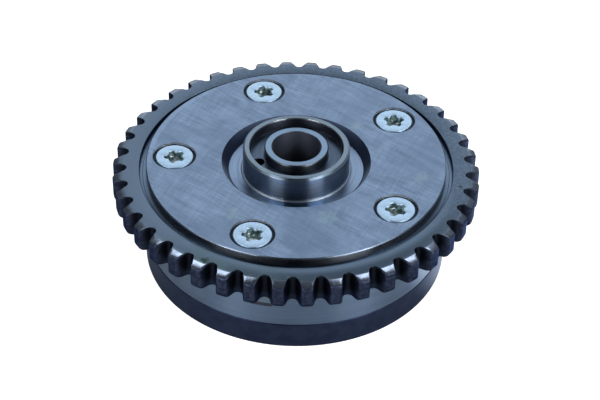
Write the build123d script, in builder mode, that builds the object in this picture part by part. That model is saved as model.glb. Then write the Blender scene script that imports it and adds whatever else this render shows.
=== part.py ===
from build123d import *
from math import atan, cos, degrees, pi, radians, sin
import os

os.makedirs("parts", exist_ok=True)

# Camshaft sprocket with a vane-type cam adjuster, in millimetres.
# The axis of rotation is Z. The end plate rests at Z = 0 and the hub points up.

# Teeth, for an inverted-tooth timing chain
tooth_count = 42
chain_pitch = 8.0
tip_drop = 0.03            # from the pitch circle in to the tooth tips
tooth_depth = 3.9          # from the tips in to the bottoms of the gullets
gullet_radius = 1.4
flank_angle = 22.0         # between a flank and the radius through its gullet
tip_rounding = 0.8
first_gullet_angle = 90.0

# Steps from the gullets inwards
rim_wall = 3.965           # gullet bottom to the recess round the cover
seat_ledge = 0.97          # recess wall to the housing
cover_setback = 0.95       # housing to the edge of the cover
housing_wall = 5.75        # housing to the chambers

# Heights
end_plate_height = 8.4
housing_height = 20.7
cover_thickness = 3.0
ring_overhang = 1.61       # ring above the top of the housing
ring_seat_height = 6.59    # ring below the top of the housing
upper_bevel_height = 0.95
upper_bevel_width = 2.9
lower_edge_rounding = 1.8
recess_edge_chamfer = 0.22  # ring, at the rim of the recess
ledge_edge_chamfer = 0.12  # ring, at its seam with the housing
hub_rise = 4.85            # hub above the cover

# Rotor
rotor_radius = 26.0
hub_radius = 15.53
hub_wall = 1.83
hub_chamfer = 0.5
hub_groove_depth = 2.9
hub_groove_rounding = 0.4
foot_step_width = 0.6
foot_step_height = 0.45
sleeve_radius = 9.3
bore_radius = 7.0
sleeve_chamfer = 0.3
rear_boss_recess = 2.5     # boss face above the resting face

# Running clearances of the rotor
bearing_clearance = 0.05   # round the rotor and at the vane tips
end_float = 0.05           # above and below the rotor
boss_clearance = 0.9

# Adjustment
chamber_count = 5
cam_travel = 30.0          # degrees from stop to stop
rest_from_stop = 3.0       # degrees from the base stop at rest
stop_clearance = 0.1
chamber_corner_rounding = 0.3
web_corner_rounding = 0.8

# Vanes and their leaf springs
vane_thickness = 4.0
vane_slot_clearance = 0.03
vane_corner_rounding = 0.5
slot_depth = 5.8
leaf_space = 0.8
leaf_thickness = 0.25
leaf_width = 3.4
leaf_end_margin = 1.5

# Oil ways
oil_hole_radius = 1.7
oil_hole_angle = 183.0
gallery_depth = 2.5
gallery_height = 4.0
gallery_centre_height = 18.5
lower_port_height = 12.5
port_radius = 1.0
port_angle = 11.0          # from the vane to the port beside it

# Cover screws, M6 with a five-lobe drive
screw_count = 5
first_screw_angle = 90.0
screw_inset = 3.36         # chamber wall in to the screw circle
screw_radius = 3.0
screw_clearance = 0.3
thread_clearance = 0.02
screw_tip_recess = 2.0     # screw tip above the resting face
screw_tip_chamfer = 0.6
head_radius = 5.5
head_sink = 0.25           # head below the cover
head_rim = 0.4
seat_land = 0.05
seat_gap = 0.85            # wall of the seat's mouth to the head
seat_mouth_depth = 0.65
lobe_radius = 2.95
lobe_valley_radius = 2.1
lobe_notch_radius = 1.3
lobe_count = 5
lobe_depth = 2.2
lobe_turns = (1.0, 7.0, 71.0, 0.0, 54.0)

# Cover
cover_bore_radius = 19.7
cover_bore_flare = 2.05
cover_bore_land = 0.3
cover_edge_chamfer = 0.25

# End plate
plate_lip = 0.15           # end plate beyond the housing
plate_top_chamfer = 0.3
plate_bottom_chamfer = 0.2

# Locking pin
lock_wall = 2.3            # rotor rim in to the pin's bore
lock_pin_radius = 3.75
lock_pin_clearance = 0.05
lock_pin_length = 11.0
lock_pin_floor = 3.0
lock_pin_wall = 1.05
lock_pin_chamfer = 0.6
lock_pin_stroke = 2.8
lock_stroke_margin = 0.25
lock_angle = 294.0         # place of the pin at rest
lock_bush_wall = 1.35
lock_bush_clearance = 0.1
lock_bush_depth = 4.0
lock_seat_wall = 1.2       # end plate between the bush and its own bore
vent_radius = 0.8
spring_wire_radius = 0.3
spring_clearance = 0.2
spring_turns = 7

# Locating dowel between the end plate and the housing
dowel_radius = 2.0
dowel_depth = 4.0          # in each of the two pieces
dowel_end_clearance = 0.2
dowel_chamfer = 0.3
dowel_inset = 5.9          # chamber wall in to the dowel
dowel_angle = 317.0

# Radii that follow
pitch_radius = chain_pitch / (2 * sin(pi / tooth_count))
tip_radius = pitch_radius - tip_drop
root_radius = tip_radius - tooth_depth
recess_radius = root_radius - rim_wall
housing_radius = recess_radius - seat_ledge
cover_radius = housing_radius - cover_setback
chamber_radius = housing_radius - housing_wall
screw_circle_radius = chamber_radius - screw_inset
hub_groove_radius = hub_radius - hub_wall
oil_hole_place = (hub_groove_radius + sleeve_radius) / 2
slot_floor_radius = rotor_radius - slot_depth
vane_inner_radius = slot_floor_radius + leaf_space
vane_outer_radius = chamber_radius - bearing_clearance
screw_hole_radius = screw_radius + screw_clearance
lock_bore_radius = lock_pin_radius + lock_pin_clearance
lock_circle_radius = rotor_radius - lock_wall - lock_bore_radius
lock_seat_radius = lock_pin_radius + lock_bush_clearance
lock_bush_radius = lock_seat_radius + lock_bush_wall
plate_bore_radius = lock_circle_radius - lock_bush_radius - lock_seat_wall
rear_boss_radius = plate_bore_radius - boss_clearance

# Heights that follow
housing_top = end_plate_height + housing_height
cover_top = housing_top + cover_thickness
ring_bottom = housing_top - ring_seat_height
ring_top = housing_top + ring_overhang
hub_top = cover_top + hub_rise
hub_groove_floor = hub_top - hub_groove_depth
rotor_bottom = end_plate_height + end_float
rotor_top = housing_top - end_float
lock_pin_top = rotor_bottom + lock_pin_length
lock_bore_top = lock_pin_top + lock_pin_stroke + lock_stroke_margin

# Angles that follow
chamber_step = 360 / chamber_count
screw_step = 360 / screw_count
first_chamber_angle = first_screw_angle + chamber_step / 2
first_vane_angle = first_chamber_angle - cam_travel / 2 + rest_from_stop


def turned_plane(height, angle):
    """Level plane on the axis, with its X axis turned to an angle."""
    outwards = Vector(cos(radians(angle)), sin(radians(angle)), 0)
    return Plane(origin=(0, 0, height), x_dir=outwards, z_dir=(0, 0, 1))


def upright_plane(angle):
    """Plane through the axis, with X outwards at an angle and Y up."""
    outwards = Vector(cos(radians(angle)), sin(radians(angle)), 0)
    sideways = Vector(sin(radians(angle)), -cos(radians(angle)), 0)
    return Plane(origin=(0, 0, 0), x_dir=outwards, z_dir=sideways)


def axis_plane(radius, angle, height=0.0):
    """Level plane centred at a radius and an angle from the axis, with its X axis outwards."""
    outwards = Vector(cos(radians(angle)), sin(radians(angle)), 0)
    place = outwards * radius + Vector(0, 0, height)
    return Plane(origin=place, x_dir=outwards, z_dir=(0, 0, 1))


def finish(builder, name):
    """Labels a finished piece and writes it to its file."""
    builder.part.label = name
    export_step(builder.part, f"parts/{name}.step")


def gullet_sketch():
    """One gullet on the X axis: a round bottom and two straight flanks."""
    centre_x = root_radius + gullet_radius
    flank_x = centre_x - gullet_radius * sin(radians(flank_angle))
    flank_y = gullet_radius * cos(radians(flank_angle))
    mouth_x = tip_radius + gullet_radius
    mouth_y = flank_y + (mouth_x - flank_x) * sin(radians(flank_angle)) / cos(radians(flank_angle))
    with BuildSketch(mode=Mode.PRIVATE) as gullet:
        with BuildLine():
            ThreePointArc((flank_x, flank_y), (root_radius, 0), (flank_x, -flank_y))
            Polyline((flank_x, -flank_y), (mouth_x, -mouth_y), (mouth_x, mouth_y), (flank_x, flank_y))
        make_face()
    return gullet.sketch


# Toothed ring, turned to its upper bevel, its rounded lower edge and the recess round the cover
with BuildPart() as sprocket_ring:
    with BuildSketch(Plane.XY.offset(ring_bottom)):
        Circle(tip_radius)
        with PolarLocations(0, tooth_count, start_angle=first_gullet_angle):
            add(gullet_sketch(), mode=Mode.SUBTRACT)
        tips = [
            corner for corner in vertices()
            if Vector(corner.X, corner.Y, 0).length > tip_radius - tip_rounding / 10
        ]
        fillet(tips, tip_rounding)
    extrude(amount=ring_top - ring_bottom)
    with BuildSketch(Plane.XZ):
        with BuildLine():
            Polyline(
                (housing_radius, ring_bottom),
                (tip_radius, ring_bottom),
                (tip_radius, ring_top - upper_bevel_height),
                (tip_radius - upper_bevel_width, ring_top),
                (recess_radius + recess_edge_chamfer, ring_top),
                (recess_radius, ring_top - recess_edge_chamfer),
                (recess_radius, housing_top),
                (housing_radius + ledge_edge_chamfer, housing_top),
                (housing_radius, housing_top - ledge_edge_chamfer),
                close=True,
            )
        make_face()
        outer_corners = vertices().group_by(Axis.X)[-1]
        fillet(outer_corners.sort_by(Axis.Y)[0], lower_edge_rounding)
    revolve(axis=Axis.Z, mode=Mode.INTERSECT)
finish(sprocket_ring, "sprocket_ring")


def chamber_sketch():
    """One chamber about the X axis, its sides parallel to the vane at each stop."""
    side_offset = vane_thickness / 2 + stop_clearance
    corners = []
    for side in (1, -1):
        along = Vector(cos(radians(cam_travel / 2)), side * sin(radians(cam_travel / 2)), 0)
        across = Vector(-sin(radians(cam_travel / 2)), side * cos(radians(cam_travel / 2)), 0)
        near = along * (rotor_radius / 2) + across * side_offset
        far = along * (chamber_radius + housing_wall) + across * side_offset
        corners += [near, far] if side == 1 else [far, near]
    with BuildSketch(mode=Mode.PRIVATE) as chamber:
        Circle(chamber_radius)
        with BuildSketch(mode=Mode.INTERSECT):
            with BuildLine():
                Polyline(*[(corner.X, corner.Y) for corner in corners], close=True)
            make_face()
        outer_corners = chamber.vertices().sort_by(Axis.X)[-2:]
        fillet(outer_corners, chamber_corner_rounding)
    return chamber.sketch


# Drum with five inward webs, which carry the screws and bear on the rotor
with BuildPart() as stator_housing:
    with BuildSketch(Plane.XY.offset(end_plate_height)):
        Circle(housing_radius)
        Circle(rotor_radius + bearing_clearance, mode=Mode.SUBTRACT)
        with PolarLocations(0, chamber_count, start_angle=first_chamber_angle):
            add(chamber_sketch(), mode=Mode.SUBTRACT)
        web_corners = [
            corner for corner in vertices()
            if Vector(corner.X, corner.Y, 0).length < rotor_radius + 2 * bearing_clearance
        ]
        fillet(web_corners, web_corner_rounding)
        with PolarLocations(screw_circle_radius, screw_count, start_angle=first_screw_angle):
            Circle(screw_hole_radius, mode=Mode.SUBTRACT)
    extrude(amount=housing_height)
    with BuildSketch(axis_plane(chamber_radius - dowel_inset, dowel_angle, end_plate_height)):
        Circle(dowel_radius)
    extrude(amount=dowel_depth, mode=Mode.SUBTRACT)
finish(stator_housing, "stator_housing")


# Cover with a flared bore and five countersunk seats
seat_cone_height = cover_thickness - head_sink - head_rim - seat_land
seat_slope = (head_radius - screw_hole_radius) / seat_cone_height
seat_cone_radius = head_radius + (head_sink + head_rim - seat_mouth_depth) * seat_slope
with BuildPart() as cover_plate:
    with BuildSketch(Plane.XZ):
        with BuildLine():
            Polyline(
                (cover_bore_radius, housing_top),
                (cover_radius, housing_top),
                (cover_radius, cover_top - cover_edge_chamfer),
                (cover_radius - cover_edge_chamfer, cover_top),
                (cover_bore_radius + cover_bore_flare, cover_top),
                (cover_bore_radius, housing_top + cover_bore_land),
                close=True,
            )
        make_face()
    revolve(axis=Axis.Z)
    with Locations(Plane.XY.offset(cover_top - seat_mouth_depth)):
        with PolarLocations(screw_circle_radius, screw_count, start_angle=first_screw_angle):
            CounterSinkHole(
                screw_hole_radius,
                seat_cone_radius,
                counter_sink_angle=2 * degrees(atan(seat_slope)),
            )
    with Locations(Plane.XY.offset(cover_top)):
        with PolarLocations(screw_circle_radius, screw_count, start_angle=first_screw_angle):
            Hole(head_radius + seat_gap, depth=seat_mouth_depth)
finish(cover_plate, "cover_plate")


# Black end plate, tapped for the screws and bored for the head of the centre bolt
lock_seat_angle = lock_angle - rest_from_stop
with BuildPart() as end_plate:
    with BuildSketch(Plane.XY):
        Circle(housing_radius + plate_lip)
        Circle(plate_bore_radius, mode=Mode.SUBTRACT)
        with PolarLocations(screw_circle_radius, screw_count, start_angle=first_screw_angle):
            Circle(screw_radius + thread_clearance, mode=Mode.SUBTRACT)
    extrude(amount=end_plate_height)
    rims = end_plate.edges().filter_by(GeomType.CIRCLE).group_by(SortBy.RADIUS)[-1]
    chamfer(rims.sort_by(Axis.Z)[0], plate_bottom_chamfer)
    rims = end_plate.edges().filter_by(GeomType.CIRCLE).group_by(SortBy.RADIUS)[-1]
    chamfer(rims.sort_by(Axis.Z)[-1], plate_top_chamfer)
    with BuildSketch(axis_plane(lock_circle_radius, lock_seat_angle, end_plate_height)):
        Circle(lock_bush_radius)
    extrude(amount=-lock_bush_depth, mode=Mode.SUBTRACT)
    with BuildSketch(axis_plane(chamber_radius - dowel_inset, dowel_angle, end_plate_height)):
        Circle(dowel_radius)
    extrude(amount=-dowel_depth, mode=Mode.SUBTRACT)
finish(end_plate, "end_plate")


# Hardened seat of the locking pin, pressed into the end plate
with BuildPart() as lock_bush:
    with BuildSketch(axis_plane(lock_circle_radius, lock_seat_angle, end_plate_height)):
        Circle(lock_bush_radius)
        Circle(lock_seat_radius, mode=Mode.SUBTRACT)
    extrude(amount=-lock_bush_depth)
finish(lock_bush, "lock_bush")


# Dowel that lines the end plate up with the housing
with BuildPart() as locating_dowel:
    dowel_length = 2 * (dowel_depth - dowel_end_clearance)
    dowel_bottom = end_plate_height - dowel_length / 2
    with BuildSketch(axis_plane(chamber_radius - dowel_inset, dowel_angle, dowel_bottom)):
        Circle(dowel_radius)
    extrude(amount=dowel_length)
    chamfer(locating_dowel.edges().filter_by(GeomType.CIRCLE), dowel_chamfer)
finish(locating_dowel, "locating_dowel")


# Rotor with its hub, turned in one piece
with BuildPart() as rotor:
    with BuildSketch(Plane.XZ):
        with BuildLine():
            Polyline(
                (sleeve_radius, rear_boss_recess),
                (rear_boss_radius, rear_boss_recess),
                (rear_boss_radius, rotor_bottom),
                (rotor_radius, rotor_bottom),
                (rotor_radius, rotor_top),
                (hub_radius + foot_step_width, rotor_top),
                (hub_radius + foot_step_width, rotor_top + foot_step_height / 2),
                (hub_radius + foot_step_width / 2, rotor_top + foot_step_height),
                (hub_radius, rotor_top + foot_step_height),
                (hub_radius, hub_top - hub_chamfer),
                (hub_radius - hub_chamfer, hub_top),
                (hub_groove_radius, hub_top),
                (hub_groove_radius, hub_groove_floor + hub_groove_rounding),
                (hub_groove_radius - hub_groove_rounding, hub_groove_floor),
                (sleeve_radius, hub_groove_floor),
                (sleeve_radius, gallery_centre_height + gallery_height / 2),
                (sleeve_radius + gallery_depth, gallery_centre_height + gallery_height / 2),
                (sleeve_radius + gallery_depth, gallery_centre_height - gallery_height / 2),
                (sleeve_radius, gallery_centre_height - gallery_height / 2),
                close=True,
            )
        make_face()
    revolve(axis=Axis.Z)
    # Slots for the vanes
    with BuildSketch(Plane.XY.offset(rotor_bottom)):
        with PolarLocations(slot_floor_radius, chamber_count, start_angle=first_vane_angle):
            Rectangle(
                2 * slot_depth,
                vane_thickness + 2 * vane_slot_clearance,
                align=(Align.MIN, Align.CENTER),
            )
    extrude(amount=rotor_top - rotor_bottom, mode=Mode.SUBTRACT)
    # Oil hole from the hub's groove down to the ring gallery
    with BuildSketch(axis_plane(oil_hole_place, oil_hole_angle, hub_groove_floor)):
        Circle(oil_hole_radius)
    extrude(amount=gallery_centre_height - hub_groove_floor, mode=Mode.SUBTRACT)
    # Bore of the locking pin and its vent
    with BuildSketch(axis_plane(lock_circle_radius, lock_angle, rotor_bottom)):
        Circle(lock_bore_radius)
    extrude(amount=lock_bore_top - rotor_bottom, mode=Mode.SUBTRACT)
    vent_place = lock_circle_radius + lock_bore_radius - 2 * vent_radius
    with BuildSketch(axis_plane(vent_place, lock_angle, lock_bore_top)):
        Circle(vent_radius)
    extrude(amount=rotor_top - lock_bore_top, mode=Mode.SUBTRACT)
    # Ports to both sides of each vane
    for vane_index in range(chamber_count):
        vane_angle = first_vane_angle + vane_index * chamber_step
        with BuildSketch(upright_plane(vane_angle + port_angle - 90)):
            with Locations((0, gallery_centre_height)):
                Circle(port_radius)
        extrude(amount=-rotor_radius, mode=Mode.SUBTRACT)
        with BuildSketch(upright_plane(vane_angle - port_angle - 90)):
            with Locations((0, lower_port_height)):
                Circle(port_radius)
        extrude(amount=-rotor_radius, mode=Mode.SUBTRACT)
finish(rotor, "rotor")


# Inner tube of the hub, which parts the two oil ways
with BuildPart() as centre_sleeve:
    with BuildSketch(Plane.XZ):
        with BuildLine():
            Polyline(
                (bore_radius, rear_boss_recess),
                (sleeve_radius, rear_boss_recess),
                (sleeve_radius, hub_top - sleeve_chamfer),
                (sleeve_radius - sleeve_chamfer, hub_top),
                (bore_radius + sleeve_chamfer, hub_top),
                (bore_radius, hub_top - sleeve_chamfer),
                close=True,
            )
        make_face()
    revolve(axis=Axis.Z)
    for vane_index in range(chamber_count):
        vane_angle = first_vane_angle + vane_index * chamber_step
        with BuildSketch(upright_plane(vane_angle - port_angle - 90)):
            with Locations((0, lower_port_height)):
                Circle(port_radius)
        extrude(amount=-rotor_radius, mode=Mode.SUBTRACT)
finish(centre_sleeve, "centre_sleeve")


# Vanes, each in its slot and with its rounded tip on the chamber wall
for vane_index in range(chamber_count):
    vane_angle = first_vane_angle + vane_index * chamber_step
    with BuildPart() as vane:
        with BuildSketch(turned_plane(rotor_bottom, vane_angle)):
            with Locations((vane_inner_radius, 0)):
                Rectangle(
                    chamber_radius - vane_inner_radius,
                    vane_thickness,
                    align=(Align.MIN, Align.CENTER),
                )
            Circle(vane_outer_radius, mode=Mode.INTERSECT)
            fillet(vertices().sort_by(Axis.X)[-2:], vane_corner_rounding)
        extrude(amount=rotor_top - rotor_bottom)
    finish(vane, f"vane_{vane_index + 1}")


# Leaf springs, bowed between the slot's floor and the vane
for vane_index in range(chamber_count):
    vane_angle = first_vane_angle + vane_index * chamber_step
    leaf_low = rotor_bottom + leaf_end_margin
    leaf_high = rotor_top - leaf_end_margin
    leaf_middle = (leaf_low + leaf_high) / 2
    back_radius = slot_floor_radius + leaf_thickness
    with BuildPart() as vane_spring:
        with BuildSketch(upright_plane(vane_angle)):
            with BuildLine():
                ThreePointArc(
                    (slot_floor_radius, leaf_low),
                    (vane_inner_radius - leaf_thickness, leaf_middle),
                    (slot_floor_radius, leaf_high),
                )
                Line((slot_floor_radius, leaf_high), (back_radius, leaf_high))
                ThreePointArc(
                    (back_radius, leaf_high),
                    (vane_inner_radius, leaf_middle),
                    (back_radius, leaf_low),
                )
                Line((back_radius, leaf_low), (slot_floor_radius, leaf_low))
            make_face()
        extrude(amount=leaf_width / 2, both=True)
    finish(vane_spring, f"vane_spring_{vane_index + 1}")


# Locking pin, a cup with its closed end towards the end plate
with BuildPart() as lock_pin:
    with BuildSketch(axis_plane(lock_circle_radius, lock_angle, rotor_bottom)):
        Circle(lock_pin_radius)
    extrude(amount=lock_pin_length)
    chamfer(lock_pin.edges().filter_by(GeomType.CIRCLE).sort_by(Axis.Z)[0], lock_pin_chamfer)
    with BuildSketch(axis_plane(lock_circle_radius, lock_angle, rotor_bottom + lock_pin_floor)):
        Circle(lock_pin_radius - lock_pin_wall)
    extrude(amount=lock_pin_length - lock_pin_floor, mode=Mode.SUBTRACT)
finish(lock_pin, "lock_pin")


# Coil spring between the pin's floor and the end of its bore
spring_radius = lock_pin_radius - lock_pin_wall - spring_clearance - spring_wire_radius
spring_start = rotor_bottom + lock_pin_floor + spring_wire_radius
spring_height = lock_bore_top - spring_wire_radius - spring_start
with BuildPart() as lock_pin_spring:
    with BuildLine(axis_plane(lock_circle_radius, lock_angle, spring_start)) as coil:
        Helix(spring_height / spring_turns, spring_height, spring_radius)
    with BuildSketch(Plane(origin=coil.line @ 0, z_dir=coil.line % 0)):
        Circle(spring_wire_radius)
    sweep(is_frenet=True)
finish(lock_pin_spring, "lock_pin_spring")


# Countersunk screws through the cover and the webs into the end plate
head_top = cover_top - head_sink
cone_bottom = housing_top + seat_land
neck_bottom = cone_bottom - (screw_hole_radius - screw_radius) / seat_slope
for screw_index in range(screw_count):
    screw_angle = first_screw_angle + screw_index * screw_step
    screw_centre = axis_plane(screw_circle_radius, screw_angle).origin
    lobe_turn = screw_angle + lobe_turns[screw_index % len(lobe_turns)]
    lobe_direction = Vector(cos(radians(lobe_turn)), sin(radians(lobe_turn)), 0)
    drive_origin = screw_centre + Vector(0, 0, head_top)
    with BuildPart() as cover_screw:
        with BuildSketch(Plane(origin=screw_centre, x_dir=(1, 0, 0), z_dir=(0, -1, 0))):
            with BuildLine():
                Polyline(
                    (0, screw_tip_recess),
                    (screw_radius - screw_tip_chamfer, screw_tip_recess),
                    (screw_radius, screw_tip_recess + screw_tip_chamfer),
                    (screw_radius, neck_bottom),
                    (screw_hole_radius, cone_bottom),
                    (head_radius, head_top - head_rim),
                    (head_radius, head_top),
                    (0, head_top),
                    close=True,
                )
            make_face()
        revolve(axis=Axis(screw_centre, (0, 0, 1)))
        with BuildSketch(Plane(origin=drive_origin, x_dir=lobe_direction, z_dir=(0, 0, 1))):
            Circle(lobe_radius)
            notch_place = lobe_valley_radius + lobe_notch_radius
            with PolarLocations(notch_place, lobe_count, start_angle=180 / lobe_count):
                Circle(lobe_notch_radius, mode=Mode.SUBTRACT)
        extrude(amount=-lobe_depth, mode=Mode.SUBTRACT)
    finish(cover_screw, f"cover_screw_{screw_index + 1}")
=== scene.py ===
from math import atan2, cos, pi, radians, sin, sqrt

import bmesh
import bpy
from mathutils import Matrix, Vector


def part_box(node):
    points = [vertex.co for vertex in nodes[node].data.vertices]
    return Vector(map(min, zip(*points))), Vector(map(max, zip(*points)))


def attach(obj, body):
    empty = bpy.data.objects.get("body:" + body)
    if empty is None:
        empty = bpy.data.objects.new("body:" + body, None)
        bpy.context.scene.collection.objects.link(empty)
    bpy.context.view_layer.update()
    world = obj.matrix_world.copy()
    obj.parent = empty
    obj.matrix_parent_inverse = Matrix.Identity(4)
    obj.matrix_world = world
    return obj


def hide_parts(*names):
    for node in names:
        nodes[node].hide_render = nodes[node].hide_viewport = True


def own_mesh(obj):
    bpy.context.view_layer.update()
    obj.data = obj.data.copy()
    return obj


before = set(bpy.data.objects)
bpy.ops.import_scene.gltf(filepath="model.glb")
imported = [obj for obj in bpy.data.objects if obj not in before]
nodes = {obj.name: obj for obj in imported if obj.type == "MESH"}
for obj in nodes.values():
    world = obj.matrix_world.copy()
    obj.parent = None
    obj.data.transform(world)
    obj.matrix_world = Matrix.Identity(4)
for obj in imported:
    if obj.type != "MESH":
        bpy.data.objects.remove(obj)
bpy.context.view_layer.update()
MM = 0.001

# The camera, from the photograph
image_width_px = 600
sensor_width = 36.0
focal_length_px = 1650.0
camera_heading = radians(72.98)  # level direction it looks along, from +X
camera_pitch = radians(39.34)  # how far it looks down
camera_roll = radians(-1.23)
camera_depth = 480.6 * MM  # from the camera to the middle of the cover, along the view
aim_left = -1.086 * MM  # where the view's axis passes the middle of the cover
aim_up = 11.766 * MM
front_angle = camera_heading + pi  # round the axis, from +X, where the camera stands

# Sizes of the toothed ring, as in the solid
ring_bottom, ring_top = (corner.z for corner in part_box("sprocket_ring"))
tip_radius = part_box("sprocket_ring")[1].x
tooth_count = 42
tooth_depth = 3.9 * MM
gullet_radius = 1.4 * MM
flank_angle = radians(22.0)
tip_rounding = 0.8 * MM
first_gullet_angle = radians(90.0)
upper_bevel_width = 2.9 * MM
upper_bevel_height = 0.95 * MM
lower_edge_rounding = 1.8 * MM
root_radius = tip_radius - tooth_depth
recess_land = 3.965 * MM  # from the recess out to the bottom of the gullets
recess_radius = root_radius - recess_land
housing_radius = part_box("stator_housing")[1].x

# Roundings of the toothed ring, finer than in the solid
ring_edge_rounding = 0.35 * MM
ring_lower_rounding = 0.5 * MM
recess_edge_rounding = 0.3 * MM
ring_seam_chamfer = 0.12 * MM
bevel_blend = 0.45 * MM  # how far the bevel's soft crease reaches to each side
least_tip_rounding = 0.05 * MM
teeth_margin = 2.5 * ring_edge_rounding  # from the gullets in to the top's last full circle

# Sizes of the cover, the rotor and the screws, as in the solids
cover_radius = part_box("cover_plate")[1].x
housing_top, cover_top = (corner.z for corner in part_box("cover_plate"))
hub_radius = 15.53 * MM
hub_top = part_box("rotor")[1].z
groove_floor = hub_top - 2.9 * MM
rotor_face = housing_top - 0.05 * MM
screw_circle_radius = 35.55 * MM
screw_count = 5
screw_angles = [radians(90 + 360 / screw_count * number) for number in range(screw_count)]
screw_bottom, head_top = (corner.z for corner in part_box("cover_screw_1"))
head_radius = 5.5 * MM
head_rim = 0.4 * MM
neck_radius = 3.3 * MM
screw_radius = 3.0 * MM
screw_tip_chamfer = 0.6 * MM
seat_land = 0.05 * MM
seat_radius = 6.35 * MM

# The five-lobe recesses, each turned as in the photo
lobe_turns = [radians(turn) for turn in (1.0, 7.0, 71.0, 0.0, 54.0)]
lobe_count = 5
lobe_radius = 2.95 * MM
lobe_notch_radius = 1.3 * MM
lobe_notch_place = 3.4 * MM
lobe_depth = 2.2 * MM
lobe_mouth_rounding = 0.25 * MM
lobe_floor_rows = ((0.55, 0.0), (0.92, 0.1 * MM), (0.97, 0.3 * MM))  # share of the width, height
head_rim_rounding = 0.3 * MM

# The screws' threads
thread_pitch = 1.0 * MM
thread_depth = 0.58 * MM
thread_end = 20.0 * MM  # where the thread runs out, above the resting face
thread_runout = 0.3 * MM
thread_start_depth = 0.3  # share of the depth at the thread's lowest turn
thread_flank_slope = 2.6  # rise over a pitch, as a share of the depth
thread_root_share = 0.15
thread_steps = 6  # rows of points in a pitch
screw_columns = 80

# How new meshes are joined and shaded
join_distance = 0.002 * MM
smooth_angle = radians(38)

# The light
white = (1.0, 1.0, 1.0)
light_tint = (0.93, 0.97, 1.0)
panel_tint = (1.0, 0.99, 0.98)
strip_width = 0.32
box_width = 0.42
high_width = 0.5

# Panels of light: name, lower and upper end, width and radiance
# Each end is given as right of, beyond and above the origin, seen by the camera
panels = (
    ("left_strip", (-0.46, 0.5, 1.0), (-0.22, 0.38, 1.34), strip_width, 3.7),
    ("right_strip", (0.46, 0.5, 1.0), (0.22, 0.38, 1.34), strip_width, 3.8),
    ("left_box", (-0.58, -0.75, 0.12), (-0.49, -0.63, 0.56), box_width, 5.8),
    ("right_box", (0.62, -0.72, 0.12), (0.52, -0.6, 0.56), box_width, 7.0),
    ("left_high", (-0.78, -0.36, 0.55), (-0.62, -0.32, 0.92), high_width, 1.2),
    ("right_high", (0.78, -0.36, 0.55), (0.62, -0.32, 0.92), high_width, 1.7),
)

# The room round the object: strengths, and limits on how far a direction points right, beyond, up or aside
room_left_strength = 0.16
room_right_strength = 0.28
room_change = (-0.4, 0.4)
backdrop_strength = 0.87
backdrop_beyond = (0.35, 0.6)
backdrop_up = (0.8, 0.66)
backdrop_aside = (0.48, 0.3)
overhead_dimming = 0.08
overhead_up = (0.75, 0.9)
front_dimming = 0.76
front_beyond = (-0.35, -0.6)
front_aside = (0.5, 0.3)

# The floor, and the painted glow it adds in the metal's reflections on the right
floor_reach = 3.0
floor_grey = 0.7
floor_glow = 0.92
floor_painted_glow = 1.3
floor_painted_glow_turn = radians(20)
floor_painted_glow_arc = (cos(radians(53)), cos(radians(32)))


# Node helpers for the materials. A pair of limits is always from nothing to full.

usual_noise = (0.35, 0.65)  # nearly all of a noise lies between these
wide_noise = (0.3, 0.7)
level_to_wall = (0.9, 0.8)  # how far a surface faces up
quarter_turn = 0.25


def add_node(tree, kind, inputs=None, **settings):
    """A new node with its settings and inputs, where an input is a value or another node's output."""
    node = tree.nodes.new(kind)
    for name, value in settings.items():
        setattr(node, name, value)
    for name, value in (inputs or {}).items():
        if isinstance(value, bpy.types.NodeSocket):
            tree.links.new(value, node.inputs[name])
        else:
            node.inputs[name].default_value = value
    return node


def maths(tree, operation, first, second=0.0):
    return add_node(tree, "ShaderNodeMath", {0: first, 1: second}, operation=operation).outputs[0]


def plus(tree, *parts):
    """The sum of two or more values."""
    total = parts[0]
    for part in parts[1:]:
        total = maths(tree, "ADD", total, part)
    return total


def minus(tree, first, second):
    return maths(tree, "SUBTRACT", first, second)


def times(tree, *parts):
    """The product of two or more values."""
    total = parts[0]
    for part in parts[1:]:
        total = maths(tree, "MULTIPLY", total, part)
    return total


def ramp(tree, value, low, high, start=0.0, end=1.0):
    """A smooth step of value from start to end between low and high."""
    inputs = {"Value": value, "From Min": low, "From Max": high, "To Min": start, "To Max": end}
    return add_node(tree, "ShaderNodeMapRange", inputs, interpolation_type="SMOOTHSTEP").outputs["Result"]


def between(tree, value, low, high, softness):
    """One between two limits, falling off to nothing within a softness beyond each."""
    above = ramp(tree, value, low - softness, low)
    return times(tree, above, ramp(tree, value, high + softness, high))


def noise(tree, vector, scale=1.0, detail=2.0, roughness=0.5, distortion=0.0):
    inputs = {"Vector": vector, "Scale": scale, "Detail": detail, "Roughness": roughness}
    inputs["Distortion"] = distortion
    return add_node(tree, "ShaderNodeTexNoise", inputs).outputs["Fac"]


def swing(tree, pattern, reach):
    """A noise as a value from -reach to reach."""
    return ramp(tree, pattern, *usual_noise, -reach, reach)


def blend(tree, amount, first, second):
    """A colour between two others."""
    node = add_node(tree, "ShaderNodeMix", data_type="RGBA")
    for socket, value in ((0, amount), (6, first), (7, second)):
        if isinstance(value, bpy.types.NodeSocket):
            tree.links.new(value, node.inputs[socket])
        elif socket == 0:
            node.inputs[socket].default_value = value
        else:
            node.inputs[socket].default_value = (*value, 1.0)
    return node.outputs[2]


def tone(tree, pattern, dark, light):
    """A colour between dark and light, as a noise has it."""
    return blend(tree, ramp(tree, pattern, *usual_noise), dark, light)


def combine(tree, x, y=0.0, z=0.0):
    return add_node(tree, "ShaderNodeCombineXYZ", {0: x, 1: y, 2: z}).outputs[0]


def vector_maths(tree, operation, first, second=(0.0, 0.0, 0.0)):
    return add_node(tree, "ShaderNodeVectorMath", {0: first, 1: second}, operation=operation)


def length_of(tree, vector):
    return vector_maths(tree, "LENGTH", vector).outputs["Value"]


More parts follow.
